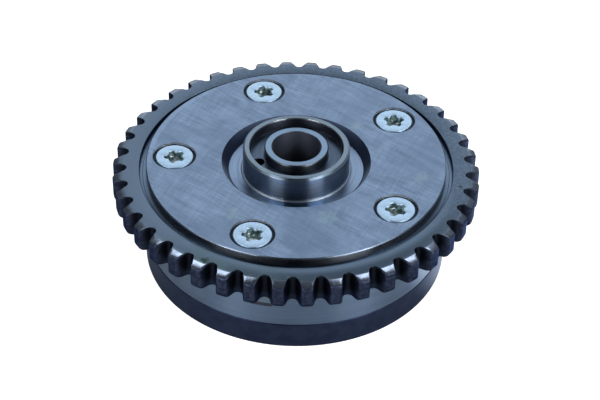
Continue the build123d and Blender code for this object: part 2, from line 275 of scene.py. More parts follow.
def share_along(tree, vector, direction):
    """How far a direction in the nodes points along a fixed one."""
    return vector_maths(tree, "DOT_PRODUCT", vector, tuple(direction)).outputs["Value"]


def place(tree):
    """The point on the piece, in millimetres."""
    here = add_node(tree, "ShaderNodeTexCoord").outputs["Object"]
    return add_node(tree, "ShaderNodeVectorMath", {0: here, "Scale": 1 / MM}, operation="SCALE").outputs[0]


def streaks(tree, point, turn, lengths, detail):
    """Noise drawn out to lengths along, across and up, where the point is first turned by some degrees."""
    rotation = (0, 0, radians(turn))
    scale = tuple(1 / length for length in lengths)
    turned = add_node(tree, "ShaderNodeMapping", {"Vector": point, "Rotation": rotation}).outputs[0]
    drawn_out = add_node(tree, "ShaderNodeMapping", {"Vector": turned, "Scale": scale}).outputs[0]
    return noise(tree, drawn_out, detail=detail)


def around(tree, vector, centre=(0.0, 0.0)):
    """Radius and angle about a centre on the cover, with the height, in millimetres and radians."""
    moved = vector_maths(tree, "SUBTRACT", vector, (*centre, 0.0)).outputs[0]
    x, y, height = add_node(tree, "ShaderNodeSeparateXYZ", {0: moved}).outputs
    return length_of(tree, combine(tree, x, y)), maths(tree, "ARCTAN2", y, x), height


def toward(tree, angle, direction):
    """One where an angle points in a direction, and minus one on the far side of the axis."""
    return maths(tree, "COSINE", minus(tree, angle, direction))


def upward(tree):
    """How far the surface faces up: one on a flat top, nothing on an upright wall."""
    normal = add_node(tree, "ShaderNodeNewGeometry").outputs["True Normal"]
    return add_node(tree, "ShaderNodeSeparateXYZ", {0: normal}).outputs[2]


def nearest_screw(tree, radius, angle):
    """Distance from the middle of the nearest cover screw, in millimetres."""
    step = 2 * pi / screw_count
    turned = minus(tree, angle, screw_angles[0] - step / 2)
    aside = minus(tree, maths(tree, "FLOORED_MODULO", turned, step), step / 2)
    reach = times(tree, radius, maths(tree, "COSINE", aside))
    across = times(tree, radius, maths(tree, "SINE", aside))
    return length_of(tree, combine(tree, minus(tree, reach, screw_circle_radius / MM), across))


def new_material(name, color, metallic, roughness, anisotropic=0.0):
    """A material with one plain colour, its node tree and its surface, for patterns to be linked to."""
    material = bpy.data.materials.new(name)
    material.use_nodes = True
    tree = material.node_tree
    surface = tree.nodes["Principled BSDF"]
    surface.inputs["Base Color"].default_value = (*color, 1.0)
    surface.inputs["Metallic"].default_value = metallic
    surface.inputs["Roughness"].default_value = roughness
    surface.inputs["Anisotropic"].default_value = anisotropic
    return material, tree, surface


def link(tree, value, surface, name):
    tree.links.new(value, surface.inputs[name])


def bump(tree, surface, height, distance, edge_rounding=0.0):
    """Small relief, on edges that are shaded as if rounded by a radius, both in millimetres."""
    inputs = {"Height": height, "Distance": distance * MM}
    if edge_rounding:
        rounded = add_node(tree, "ShaderNodeBevel", {"Radius": edge_rounding * MM}, samples=6)
        inputs["Normal"] = rounded.outputs[0]
    link(tree, add_node(tree, "ShaderNodeBump", inputs).outputs[0], surface, "Normal")


def around_axis(tree, surface):
    """Lets the highlight stretch across turning marks that run round the axis."""
    tangent = add_node(tree, "ShaderNodeTangent", direction_type="RADIAL", axis="Z")
    link(tree, tangent.outputs[0], surface, "Tangent")
    surface.inputs["Anisotropic Rotation"].default_value = quarter_turn


def turning(tree, radius, angle, height, width):
    """Noise in rings of a width round the axis."""
    across = maths(tree, "DIVIDE", radius, width)
    upwards = maths(tree, "DIVIDE", height, width)
    return noise(tree, combine(tree, across, angle, upwards), detail=2)


def turned_marks(tree, radius, angle, height):
    """Turning marks from 0 to 1, some broad and some fine."""
    layers = []
    for width in turning_widths:
        layers.append(ramp(tree, turning(tree, radius, angle, height, width), *usual_noise, 0.0, 0.5))
    return plus(tree, *layers)


def spot(tree, point, mark, ragged=0.0):
    """One inside a round mark on a level face and nothing outside it, with a ragged edge."""
    radius, angle, size = mark
    centre = (radius * cos(radians(angle)), radius * sin(radians(angle)))
    distance = around(tree, point, centre)[0]
    if ragged:
        shift = ramp(tree, noise(tree, point, scale=0.5, detail=3), *wide_noise, -ragged, ragged)
        distance = plus(tree, distance, shift)
    return ramp(tree, distance, size, size * spot_core)


# The materials' sizes are in millimetres, and their angles are in degrees round the axis from +X.
# A mark is a radius, an angle and a size. Tones are a dark and a light colour.

spot_core = 0.3  # share of a mark that is covered in full
turning_widths = (0.9, 0.28)

# The cover, with its streaks: turn, lengths along, across and up, detail, and for scratches the strength
cover_lines = (54, (8.0, 0.5, 5.0), 3)
cover_scratches = (
    (*cover_lines, 0.13),
    (-50, (7.0, 0.4, 5.0), 3, 0.11),
    (49, (5.0, 0.26, 5.0), 2, 0.13),
)
cover_smears = (58, (14.0, 2.4, 5.0), 3)
cover_smear_strength = 0.09
cover_cloud_strength = 0.2
cover_wear = (0.35, 0.6)
cover_least_wear = 0.35
# The brighter band at the back left is a painted highlight along the cover's rim
cover_highlight_radius = 42.7  # a brighter band at the back left
cover_highlight_angle = 138
cover_highlight_arc = (0.8, 0.95)
cover_highlight_width = (0.9, 0.4)
cover_highlight_strength = 0.3
cover_smudges = ((36.8, -29.0, 3.2), (27.3, -89.0, 4.0), (24.4, 26.0, 2.8), (30.5, -141.0, 3.0))
cover_smudge_strength = 0.4
cover_pits = (27.0, -18.0, 9.0)
cover_pit_noise = (0.33, 0.27)
cover_pit_strength = 0.6
cover_wall_slope = (0.85, 0.75)
cover_edge_slopes = ((0.5, 0.6), (0.95, 0.9))
cover_edge_zone = (cover_radius / MM - 0.4, cover_radius / MM - 0.25)
cover_outer_wall_zone = (cover_radius / MM - 0.6, cover_radius / MM - 0.4)
beyond_flare_zone = (30.0, 31.0)
cover_edge_highlight_arc = (0.5, 0.85)
flare_rise = (cover_top / MM - 2.6, cover_top / MM)
flare_back_arc = (-0.35, -0.6)
flare_front_arc = (-0.05, 0.25)
seat_zone = (seat_radius / MM + 0.1, seat_radius / MM)
seat_depth = (cover_top / MM - 0.08, cover_top / MM - 0.16)
cover_roughness = (0.28, 0.4)
flare_roughening = 0.15
outer_wall_smoothing = 0.05
outer_wall_anisotropic = 0.95

cover_plain = (0.19, 0.27, 0.41)
cover_tones = ((0.125, 0.185, 0.29), (0.28, 0.39, 0.57))
cover_smudge_color = (0.27, 0.4, 0.46)
cover_pit_color = (0.04, 0.06, 0.11)
cover_wall_plain = (0.19, 0.215, 0.26)
# The edge's chamfer is darker at the back and carries a painted highlight in front
cover_edge_back = (0.12, 0.17, 0.26)
cover_edge_painted_highlight = (0.25, 0.32, 0.43)
# The flared bore: painted shade low down, painted light towards its top at the back and in front
flare_painted_shade = (0.055, 0.072, 0.13)
flare_back_painted_light = (0.13, 0.17, 0.27)
flare_front_painted_tones = ((0.09, 0.115, 0.18), (0.26, 0.33, 0.45))
# The screw seats: painted shade on their floors, walls lightened into painted glints
seat_floor_painted_shade = (0.016, 0.02, 0.03)
seat_wall_painted_glint = (0.78, 0.88, 1.0)


def cover_face_color(tree, point, radius, angle, clouds):
    """The ground face: scratches where it is worn, smears, clouds, a band of painted highlight, smudges and
    pits.
    """
    worn = noise(tree, point, scale=0.07, detail=2, distortion=0.4)
    worn = ramp(tree, worn, *cover_wear, cover_least_wear, 1.0)
    layers = [swing(tree, streaks(tree, point, *marks), strength) for *marks, strength in cover_scratches]
    scratches = times(tree, plus(tree, *layers), worn)
    smears = swing(tree, streaks(tree, point, *cover_smears), cover_smear_strength)
    # A band of painted highlight near the rim at the back left
    arc = ramp(tree, toward(tree, angle, radians(cover_highlight_angle)), *cover_highlight_arc)
    band = ramp(tree, maths(tree, "ABSOLUTE", minus(tree, radius, cover_highlight_radius)), *cover_highlight_width)
    brighter = times(tree, arc, band, cover_highlight_strength)
    light = plus(tree, scratches, smears, swing(tree, clouds, cover_cloud_strength), brighter)
    color = blend(tree, plus(tree, light, 0.5), *cover_tones)
    for mark in cover_smudges:
        smudge = times(tree, spot(tree, point, mark, ragged=1.6), cover_smudge_strength)
        color = blend(tree, smudge, color, cover_smudge_color)
    specks = ramp(tree, noise(tree, point, scale=0.9, detail=2), *cover_pit_noise)
    pits = times(tree, specks, spot(tree, point, cover_pits), cover_pit_strength)
    return blend(tree, pits, color, cover_pit_color)


def cover_wall_color(tree, radius, height, front):
    """The walls: the outer one plain, the flared bore in painted shade low down and painted lighter towards
    its top at the back and in front.
    """
    # Painted shade low in the flare, painted light towards its top
    rise = ramp(tree, height, *flare_rise)
    at_back = times(tree, ramp(tree, front, *flare_back_arc), rise)
    flare = blend(tree, at_back, flare_painted_shade, flare_back_painted_light)
    in_front = blend(tree, rise, *flare_front_painted_tones)
    flare = blend(tree, ramp(tree, front, *flare_front_arc), flare, in_front)
    return blend(tree, ramp(tree, radius, *beyond_flare_zone), flare, cover_wall_plain)


def ground_steel():
    """The cover: ground both ways on top, with a painted highlight on its edge in front, its walls with
    painted light and shade on the flared bore, and screw seats with painted shade on their floors and walls
    lightened into painted glints.
    """
    material, tree, surface = new_material("ground_steel", cover_plain, metallic=1.0, roughness=0.32)
    point = place(tree)
    radius, angle, height = around(tree, point)
    front = toward(tree, angle, front_angle)
    clouds = noise(tree, point, scale=0.075, detail=4, roughness=0.6, distortion=0.6)
    facing_up = upward(tree)
    side = ramp(tree, facing_up, *cover_wall_slope)
    slopes = [ramp(tree, facing_up, *limits) for limits in cover_edge_slopes]
    edge = times(tree, ramp(tree, radius, *cover_edge_zone), *slopes)
    # Painted highlight on the edge's chamfer in front
    edge_with_highlight = blend(tree, ramp(tree, front, *cover_edge_highlight_arc), cover_edge_back, cover_edge_painted_highlight)
    # Screw seats: painted shade on the floors, painted glints on the walls
    seat = ramp(tree, nearest_screw(tree, radius, angle), *seat_zone)
    seat = times(tree, seat, ramp(tree, height, *seat_depth))
    color = cover_face_color(tree, point, radius, angle, clouds)
    color = blend(tree, side, color, cover_wall_color(tree, radius, height, front))
    color = blend(tree, edge, color, edge_with_highlight)
    color = blend(tree, seat, color, blend(tree, side, seat_floor_painted_shade, seat_wall_painted_glint))
    link(tree, color, surface, "Base Color")
    outer_wall = times(tree, side, ramp(tree, radius, *cover_outer_wall_zone))
    inner_wall = minus(tree, side, outer_wall)
    rough = ramp(tree, clouds, *wide_noise, *cover_roughness)
    rough = plus(tree, rough, times(tree, inner_wall, flare_roughening))
    rough = minus(tree, rough, times(tree, outer_wall, outer_wall_smoothing))
    link(tree, rough, surface, "Roughness")
    link(tree, times(tree, outer_wall, outer_wall_anisotropic), surface, "Anisotropic")
    bump(tree, surface, streaks(tree, point, *cover_lines), distance=0.006, edge_rounding=0.15)
    around_axis(tree, surface)
    return material


# The toothed ring
# The ring's top is painted lighter towards the left: painted light
ring_painted_light_angle = 200
ring_painted_light_arc = (-0.8, 0.8)
ring_painted_light_tones = (-0.15, 0.8)
ring_patch_strength = 0.1
# The ring's top is painted darker in front, most towards the outside: painted shade
ring_shade_angle = -90
ring_shade_arc = (0.4, 1.0)
ring_shade_strength = 0.95
ring_shade_zone = (46.4, 49.0)
ring_turning_rate = 5.0
# The ledge is painted light behind and in painted shade in front
ledge_depth = (ring_top / MM - 0.6, ring_top / MM - 0.9)
ledge_shade_arc = (0.0, 0.5)
ring_teal = (48.0, -130.0, 26.0)
ring_teal_patches = (0.4, 0.6)
ring_teal_strengths = (0.2, 0.8)
ring_stains = ((49.9, -136.2, 1.5), (48.0, 61.1, 0.8), (48.4, -28.4, 0.7))
ring_stain_strength = 0.85
# Where the painted shade in the gullets lies, and its lighter foot
gullet_zone = (tip_radius / MM - 0.3, root_radius / MM + 1.2)
gullet_foot = (ring_bottom / MM + 2.6, ring_bottom / MM + 1.4)
ring_inside_zone = (root_radius / MM - 1.0, root_radius / MM - 2.0)

ring_plain = (0.1, 0.15, 0.22)
ring_tones = ((0.092, 0.136, 0.2), (0.13, 0.188, 0.272))
# Painted shade on the ring's top in front
ring_painted_front_shades = ((0.12, 0.178, 0.26), (0.056, 0.085, 0.125))  # inner, outer
# Painted light behind and painted shade in front, on the ledge
ledge_painted_tones = ((0.17, 0.25, 0.37), (0.08, 0.115, 0.17))  # behind, in front
ring_teal_color = (0.108, 0.17, 0.208)
ring_stain_color = (0.02, 0.042, 0.03)
bevel_plain = (0.16, 0.2, 0.26)
bevel_tones = ((0.155, 0.195, 0.275), (0.225, 0.28, 0.375))
oxide_plain = (0.03, 0.038, 0.055)
oxide_tones = ((0.024, 0.032, 0.062), (0.05, 0.064, 0.115))
oxide_sheen = (0.25, 0.32, 0.45)
# Painted shade in the gullets
gullet_painted_shade = (0.011, 0.014, 0.022)
gullet_foot_color = (0.022, 0.032, 0.055)
ring_inside_color = (0.05, 0.06, 0.08)


def ring_top_steel():
    """The ring's machined top and the ledge below it: painted light at the left, painted shade in front, with
    stains.
    """
    material, tree, surface = new_material("ring_machined", ring_plain, metallic=1.0, roughness=0.34)
    point = place(tree)
    radius, angle, height = around(tree, point)
    speckle = noise(tree, point, scale=1.1, detail=5, roughness=0.7)
    patches = noise(tree, point, scale=0.12, detail=3)
    # Painted light towards the left of the ring's top
    left = ramp(tree, toward(tree, angle, radians(ring_painted_light_angle)), *ring_painted_light_arc, *ring_painted_light_tones)
    light = plus(tree, ramp(tree, speckle, *usual_noise), swing(tree, patches, ring_patch_strength), left)
    color = blend(tree, light, *ring_tones)
    # Painted shade on the ring's top in front
    front = toward(tree, angle, radians(ring_shade_angle))
    front = ramp(tree, front, *ring_shade_arc, 0.0, ring_shade_strength)
    painted_front_shade = blend(tree, ramp(tree, radius, *ring_shade_zone), *ring_painted_front_shades)
    color = blend(tree, front, color, painted_front_shade)
    # Painted light and shade on the ledge
    ledge_shade = ramp(tree, toward(tree, angle, front_angle), *ledge_shade_arc)
    ledge_painted_tone = blend(tree, ledge_shade, *ledge_painted_tones)
    color = blend(tree, ramp(tree, height, *ledge_depth), color, ledge_painted_tone)
    teal = ramp(tree, patches, *ring_teal_patches, *ring_teal_strengths)
    teal = times(tree, spot(tree, point, ring_teal, ragged=3.0), teal)
    color = blend(tree, teal, color, ring_teal_color)
    for mark in ring_stains:
        stain = times(tree, spot(tree, point, mark, ragged=0.5), ring_stain_strength)
        color = blend(tree, stain, color, ring_stain_color)
    link(tree, color, surface, "Base Color")
    rings = noise(tree, combine(tree, times(tree, radius, ring_turning_rate), angle), detail=2)
    bump(tree, surface, rings, distance=0.006)
    return material


def ring_bevel_steel():
    """The bright bevel on the teeth."""
    material, tree, surface = new_material("ring_bevel", bevel_plain, metallic=1.0, roughness=0.17)
    speckle = noise(tree, place(tree), scale=0.7, detail=4, roughness=0.6)
    link(tree, tone(tree, speckle, *bevel_tones), surface, "Base Color")
    bump(tree, surface, speckle, distance=0.002)
    return material


def ring_oxide():
    """The ring's dark walls, with painted shade down in the gullets, less near their foot."""
    material, tree, surface = new_material("ring_oxide", oxide_plain, metallic=0.9, roughness=0.36)
    surface.inputs["Specular Tint"].default_value = (*oxide_sheen, 1.0)
    point = place(tree)
    radius, angle, height = around(tree, point)
    speckle = noise(tree, point, scale=0.9, detail=4)
    color = tone(tree, speckle, *oxide_tones)
    # Painted shade down in the gullets, less near their foot
    gullet = ramp(tree, radius, *gullet_zone)
    color = blend(tree, gullet, color, gullet_painted_shade)
    foot = times(tree, gullet, ramp(tree, height, *gullet_foot))
    color = blend(tree, foot, color, gullet_foot_color)
    inside = ramp(tree, radius, *ring_inside_zone)
    link(tree, blend(tree, inside, color, ring_inside_color), surface, "Base Color")
    bump(tree, surface, speckle, distance=0.004)
    return material


# The drum, with a painted highlight and a brown mark: colour, from and to in degrees, from and to in height
drum_mark_width = 0.5
drum_level_slope = (0.7, 0.9)
drum_plain = (0.19, 0.272, 0.408)
drum_tones = ((0.16, 0.232, 0.348), drum_plain)
drum_top_color = (0.17, 0.25, 0.37)
# The pale mark is a painted highlight, with a brown mark below it
drum_highlight_and_mark = (
    ((0.21, 0.27, 0.34), -119.4, -115.6, 16.3, 18.6),
    ((0.04, 0.028, 0.028), -122.2, -114.8, 14.9, 15.8),
)
drum_mark_strength = 0.8
drum_mark_softness = (0.5, 0.25)  # degrees, height


def drum_steel():
    """The drum: turned, its marks running round the axis, with a pale mark in front that is a painted
    highlight and a brown mark below it.
    """
    material, tree, surface = new_material("drum_steel", drum_plain, 1.0, roughness=0.3, anisotropic=0.9)
    point = place(tree)
    radius, angle, height = around(tree, point)
    rings = turning(tree, radius, angle, height, drum_mark_width)
    patches = noise(tree, point, scale=0.12, detail=3)
    color = tone(tree, plus(tree, times(tree, rings, 0.5), times(tree, patches, 0.5)), *drum_tones)
    color = blend(tree, ramp(tree, upward(tree), *drum_level_slope), color, drum_top_color)
    soft_turn, soft_rise = drum_mark_softness
    for mark_color, start, end, low, high in drum_highlight_and_mark:
        along = between(tree, angle, radians(start), radians(end), radians(soft_turn))
        inside = times(tree, along, between(tree, height, low, high, soft_rise))
        color = blend(tree, times(tree, inside, drum_mark_strength), color, mark_color)
    link(tree, color, surface, "Base Color")
    bump(tree, surface, rings, distance=0.002)
    around_axis(tree, surface)
    return material


# The rotor and its hub
groove_zone = (hub_radius / MM - 0.9, hub_radius / MM - 1.3)
groove_lip_zone = (hub_top / MM - 0.5, hub_top / MM - 0.35)
hub_top_zone = (hub_top / MM - 0.2, hub_top / MM - 0.1)
hub_rim_zone = (hub_top / MM - 0.6, hub_top / MM - 0.5)
hub_rim_slope = (0.4, 0.6)
hub_foot_zone = (rotor_face / MM + 0.55, rotor_face / MM + 0.45)
oil_hole_zone = (groove_floor / MM - 0.05, groove_floor / MM - 0.2)
rotor_roughness = (0.22, 0.28)  # level, upright
groove_dulling = 0.34

rotor_plain = (0.3, 0.3, 0.3)
rotor_face_tones = ((0.15, 0.218, 0.336), (0.245, 0.338, 0.49))
hub_top_tones = ((0.17, 0.245, 0.34), (0.235, 0.33, 0.455))
# The groove's floor and walls are in painted shade
groove_floor_painted_shades = ((0.06, 0.09, 0.14), (0.1, 0.14, 0.21))
hub_wall_tones = ((0.17, 0.225, 0.305), (0.21, 0.275, 0.375))
groove_wall_painted_shade = (0.05, 0.06, 0.088)
# Painted highlight on the lip of the groove's wall
groove_lip_painted_highlight = (0.7, 0.75, 0.8)
# Painted highlight on the hub's foot
hub_foot_painted_highlight = (0.6, 0.68, 0.78)
hub_rim_color = (0.2, 0.27, 0.35)
# Painted shade inside the hole in the groove's floor
oil_hole_painted_shade = (0.01, 0.012, 0.016)


def rotor_level_color(tree, marks, groove, height):
    """The rotor's level faces: its end face, the top of the hub and the groove's floor, which is in painted
    shade.
    """
    color = blend(tree, marks, *rotor_face_tones)
    color = blend(tree, ramp(tree, height, *hub_top_zone), color, blend(tree, marks, *hub_top_tones))
    return blend(tree, groove, color, blend(tree, marks, *groove_floor_painted_shades))


def rotor_wall_color(tree, marks, groove, lip, height):
    """The hub's walls: turned outside with a painted highlight at the foot, in painted shade in the groove up
    to a painted highlight on its lip.
    """
    color = blend(tree, groove, blend(tree, marks, *hub_wall_tones), groove_wall_painted_shade)
    # Painted highlight on the groove's lip
    color = blend(tree, times(tree, groove, lip), color, groove_lip_painted_highlight)
    # Painted highlight on the hub's foot
    return blend(tree, ramp(tree, height, *hub_foot_zone), color, hub_foot_painted_highlight)


def rotor_steel():
    """The rotor: bright turned end face, darker hub with a bluish rim and a painted highlight at its foot,
    dull groove in painted shade with a painted highlight on its lip, and a lubricating hole in painted shade.
    """
    material, tree, surface = new_material("rotor_steel", rotor_plain, 1.0, roughness=0.3, anisotropic=0.96)
    radius, angle, height = around(tree, place(tree))
    marks = turned_marks(tree, radius, angle, height)
    facing_up = upward(tree)
    wall = ramp(tree, facing_up, *level_to_wall)
    groove = ramp(tree, radius, *groove_zone)
    lip = ramp(tree, height, *groove_lip_zone)
    level_color = rotor_level_color(tree, marks, groove, height)
    color = blend(tree, wall, level_color, rotor_wall_color(tree, marks, groove, lip, height))
    rim = times(tree, ramp(tree, height, *hub_rim_zone), ramp(tree, facing_up, *hub_rim_slope))
    color = blend(tree, rim, color, hub_rim_color)
    # Painted shade inside the hole in the groove's floor
    hole = times(tree, groove, ramp(tree, height, *oil_hole_zone))
    link(tree, blend(tree, hole, color, oil_hole_painted_shade), surface, "Base Color")
    dull = times(tree, wall, groove, minus(tree, 1.0, lip), groove_dulling)
    link(tree, plus(tree, ramp(tree, wall, 0.0, 1.0, *rotor_roughness), dull), surface, "Roughness")
    bump(tree, surface, marks, distance=0.003, edge_rounding=0.25)
    around_axis(tree, surface)
    return material


# The centre sleeve
sleeve_bore_zone = (7.25, 7.15)
sleeve_roughness = (0.22, 0.3)  # level, upright
bore_dulling = 0.62
sleeve_plain = (0.15, 0.22, 0.32)
sleeve_top_color = (0.21, 0.31, 0.45)
# The sleeve's outside in the groove and its bore are in painted shade
sleeve_outside_painted_shades = ((0.1, 0.12, 0.15), (0.14, 0.165, 0.2))
sleeve_bore_painted_shade = (0.085, 0.1, 0.14)


def sleeve_steel():
    """The sleeve: bright on top, in painted shade outside in the groove, and in painted shade and dull in the
    bore.
    """
    material, tree, surface = new_material("sleeve_steel", sleeve_plain, 1.0, roughness=0.3, anisotropic=0.88)
    radius, angle, height = around(tree, place(tree))
    marks = turned_marks(tree, radius, angle, height)
    wall = ramp(tree, upward(tree), *level_to_wall)
    bore = ramp(tree, radius, *sleeve_bore_zone)
    # Painted shade outside in the groove and in the bore
    wall_color = blend(tree, bore, blend(tree, marks, *sleeve_outside_painted_shades), sleeve_bore_painted_shade)
    link(tree, blend(tree, wall, sleeve_top_color, wall_color), surface, "Base Color")
    dull = times(tree, wall, bore, bore_dulling)
    link(tree, plus(tree, ramp(tree, wall, 0.0, 1.0, *sleeve_roughness), dull), surface, "Roughness")
    bump(tree, surface, marks, distance=0.003, edge_rounding=0.15)
    around_axis(tree, surface)
    return material


# The end plate
black_plain = (0.014, 0.02, 0.045)
black_tones = ((0.015, 0.022, 0.055), (0.022, 0.032, 0.072))
black_sheen = (0.62, 0.77, 1.0)
black_reflection = 0.38


def black_oxide():
    """The end plate: satin black with a bluish sheen."""
    material, tree, surface = new_material("black_oxide", black_plain, 0.6, roughness=0.33, anisotropic=0.7)
    surface.inputs["Specular Tint"].default_value = (*black_sheen, 1.0)
    surface.inputs["Specular IOR Level"].default_value = black_reflection
    clouds = noise(tree, place(tree), scale=0.25, detail=4)
    link(tree, tone(tree, clouds, *black_tones), surface, "Base Color")
    around_axis(tree, surface)
    return material


# The cover screws
screw_recess_depth = (head_top / MM - 0.12, head_top / MM - 0.3)
screw_recess_zone = (3.3, 3.2)
screw_glint_noise = (0.4, 0.6)
zinc_plain = (0.45, 0.63, 0.84)
zinc_tones = ((0.4, 0.57, 0.78), (0.5, 0.7, 0.9))
# Inside the recess: a darker tone and patches of painted glints
screw_recess_dark_and_glint = ((0.2, 0.26, 0.27), (0.62, 0.74, 0.76))


def zinc():
    """Pale zinc; inside the recess of the head darker, with patches of painted glints."""
    material, tree, surface = new_material("zinc", zinc_plain, metallic=1.0, roughness=0.3)
    point = place(tree)
    radius, angle, height = around(tree, point)
    grain = noise(tree, point, scale=2.2, detail=4)
    near = ramp(tree, nearest_screw(tree, radius, angle), *screw_recess_zone)
    inside = times(tree, ramp(tree, height, *screw_recess_depth), near)
    # Patches of painted glints inside the recess
    glint_patches = ramp(tree, noise(tree, point, scale=0.9, detail=1), *screw_glint_noise)
    color = blend(tree, inside, tone(tree, grain, *zinc_tones), blend(tree, glint_patches, *screw_recess_dark_and_glint))
    link(tree, color, surface, "Base Color")
    bump(tree, surface, grain, distance=0.015)
    return material


# The pieces inside
hard_steel_color = (0.3, 0.31, 0.33)
spring_steel_color = (0.22, 0.22, 0.23)
plain_steel_lightening = 1.25


def plain_steel(name, color, roughness):
    """Steel of one colour with a slight grain."""
    material, tree, surface = new_material(name, color, metallic=1.0, roughness=roughness)
    grain = noise(tree, place(tree), scale=1.5, detail=3)
    lighter = tuple(min(1.0, part * plain_steel_lightening) for part in color)
    link(tree, tone(tree, grain, color, lighter), surface, "Base Color")
    return material


# Meshes made of rows of points

def quarter_turns(steps):
    """Angles from nothing to a quarter turn."""
    return [pi / 2 * step / steps for step in range(steps + 1)]


def tidy_mesh(mesh):
    """Joins points that fall together, turns all faces outwards and shades them smoothly."""
    work = bmesh.new()
    work.from_mesh(mesh)
    bmesh.ops.remove_doubles(work, verts=work.verts, dist=join_distance)
    bmesh.ops.recalc_face_normals(work, faces=work.faces)
    work.to_mesh(mesh)
    work.free()
    mesh.shade_smooth()
    mesh.set_sharp_from_angle(angle=smooth_angle)


def add_rows(name, rows, kinds, materials, closed=True):
    """A mesh of rows of points that run round, with one material number for each strip after a row."""
    count = len(rows[0])
    points = [point for row in rows for point in row]
    faces = []
    picks = []
    for number, kind in enumerate(kinds if closed else kinds[:-1]):
        low = number * count
        high = (number + 1) % len(rows) * count
        for column in range(count):
            after = (column + 1) % count
            faces.append((low + column, low + after, high + after, high + column))
            picks.append(kind)
    mesh = bpy.data.meshes.new(name)
    mesh.from_pydata(points, [], faces)
    for material in materials:
        mesh.materials.append(material)
    mesh.polygons.foreach_set("material_index", picks)
    tidy_mesh(mesh)
    piece = bpy.data.objects.new(name, mesh)
    bpy.context.scene.collection.objects.link(piece)
    return piece


# The toothed ring, with its edges rounded

machined_face, oxide_face, bevel_face = range(3)


def half_tooth(inset):
    """Outline from a gullet's bottom on the X axis to the middle of the next tooth, drawn in by an inset."""
    gullet_steps = 7
    flank_steps = 5
    corner_steps = 5
    tip_steps = 3
    centre = Vector((root_radius + gullet_radius, 0))
    along = Vector((cos(flank_angle), sin(flank_angle)))
    into = Vector((-sin(flank_angle), cos(flank_angle)))
    hollow = gullet_radius + inset
    corner = max(tip_rounding - inset, least_tip_rounding)
    tip = tip_radius - inset
    points = []
    for step in range(gullet_steps + 1):
        turn = pi - (pi / 2 - flank_angle) * step / gullet_steps
        points.append(centre + hollow * Vector((cos(turn), sin(turn))))
    start = centre + into * (hollow + corner)
    middle = start.dot(along)
    length = -middle + sqrt(middle ** 2 - start.length_squared + (tip - corner) ** 2)
    corner_centre = start + along * length
    for step in range(1, flank_steps + 1):
        points.append(centre + into * hollow + along * length * step / flank_steps)
    turn_start = atan2(-into.y, -into.x)
    turn_end = atan2(corner_centre.y, corner_centre.x)
    for step in range(1, corner_steps + 1):
        turn = turn_start + (turn_end - turn_start) * step / corner_steps
        points.append(corner_centre + corner * Vector((cos(turn), sin(turn))))
    for step in range(1, tip_steps + 1):
        turn = turn_end + (pi / tooth_count - turn_end) * step / tip_steps
        points.append(tip * Vector((cos(turn), sin(turn))))
    return points


def ring_outline(inset):
    """The outline right round, as radius and angle."""
    half = [(point.length, atan2(point.y, point.x)) for point in half_tooth(inset)]
    tooth = half + [(radius, 2 * pi / tooth_count - angle) for radius, angle in half[-2:0:-1]]
    outline = []
    for number in range(tooth_count):
        start = first_gullet_angle + number * 2 * pi / tooth_count
        outline += [(radius, start + angle) for radius, angle in tooth]
    return outline


def capped(outline, radius):
    """An outline cut off at a radius."""
    return [(min(own, radius), angle) for own, angle in outline]


def ring_top_height(radius):
    slope = upper_bevel_height / upper_bevel_width
    return ring_top - slope * max(0.0, radius - (tip_radius - upper_bevel_width))


def ring_bottom_height(radius):
    beyond = max(0.0, radius - (tip_radius - lower_edge_rounding))
    return ring_bottom + lower_edge_rounding - sqrt(max(0.0, lower_edge_rounding ** 2 - beyond ** 2))


def ring_row(outline, height, kind):
    """A row of points and its material number, at one height or where a function of the radius says."""
    points = []
    for radius, angle in outline:
        level = height(radius) if callable(height) else height
        points.append((radius * cos(angle), radius * sin(angle), level))
    return points, kind


def ring_circle(radius, height, kind):
    """A row on a circle, with its points at the angles of the teeth's outline."""
    return ring_row([(radius, angle) for own, angle in ring_outline(0.0)], height, kind)


def ring_inner_rows():
    """The inner side, from the bottom up over the ledge to the rounded edge of the recess."""
    rows = [
        ring_circle(housing_radius, ring_bottom, oxide_face),
        ring_circle(housing_radius, housing_top - ring_seam_chamfer, oxide_face),
        ring_circle(housing_radius + ring_seam_chamfer, housing_top, machined_face),
        ring_circle(recess_radius, housing_top, oxide_face),
    ]
    for turn in quarter_turns(3):
        reach = recess_radius + recess_edge_rounding * (1 - cos(turn))
        level = ring_top - recess_edge_rounding * (1 - sin(turn))
        rows.append(ring_circle(reach, level, oxide_face if turn == 0 else machined_face))
    return rows


def ring_top_rows():
    """The top, up to the soft crease where the bevel on the teeth starts."""
    crease = tip_radius - upper_bevel_width
    outline = ring_outline(ring_edge_rounding)
    return [
        ring_circle(root_radius - teeth_margin, ring_top, machined_face),
        ring_row(capped(outline, crease - bevel_blend), ring_top_height, machined_face),
        ring_row(capped(outline, crease + bevel_blend), ring_top_height, bevel_face),
    ]


def ring_tooth_rows():
    """The teeth's walls, with their rounded upper and lower edges, and the teeth's rounded underside."""
    rows = []
    for turn in quarter_turns(4):
        outline = ring_outline(ring_edge_rounding * (1 - sin(turn)))
        drop = ring_edge_rounding * (1 - cos(turn))
        kind = machined_face if turn == 0 else oxide_face
        rows.append(ring_row(outline, lambda radius: ring_top_height(radius) - drop, kind))
    for turn in quarter_turns(4):
        outline = ring_outline(ring_lower_rounding * (1 - cos(turn)))
        rise = ring_lower_rounding * (1 - sin(turn))
        rows.append(ring_row(outline, lambda radius: ring_bottom_height(radius) + rise, oxide_face))
    outline = ring_outline(ring_lower_rounding)
    for turn in quarter_turns(4)[1:]:
        reach = tip_radius - lower_edge_rounding + lower_edge_rounding * cos(turn)
        rows.append(ring_row(capped(outline, reach), ring_bottom_height, oxide_face))
    return rows


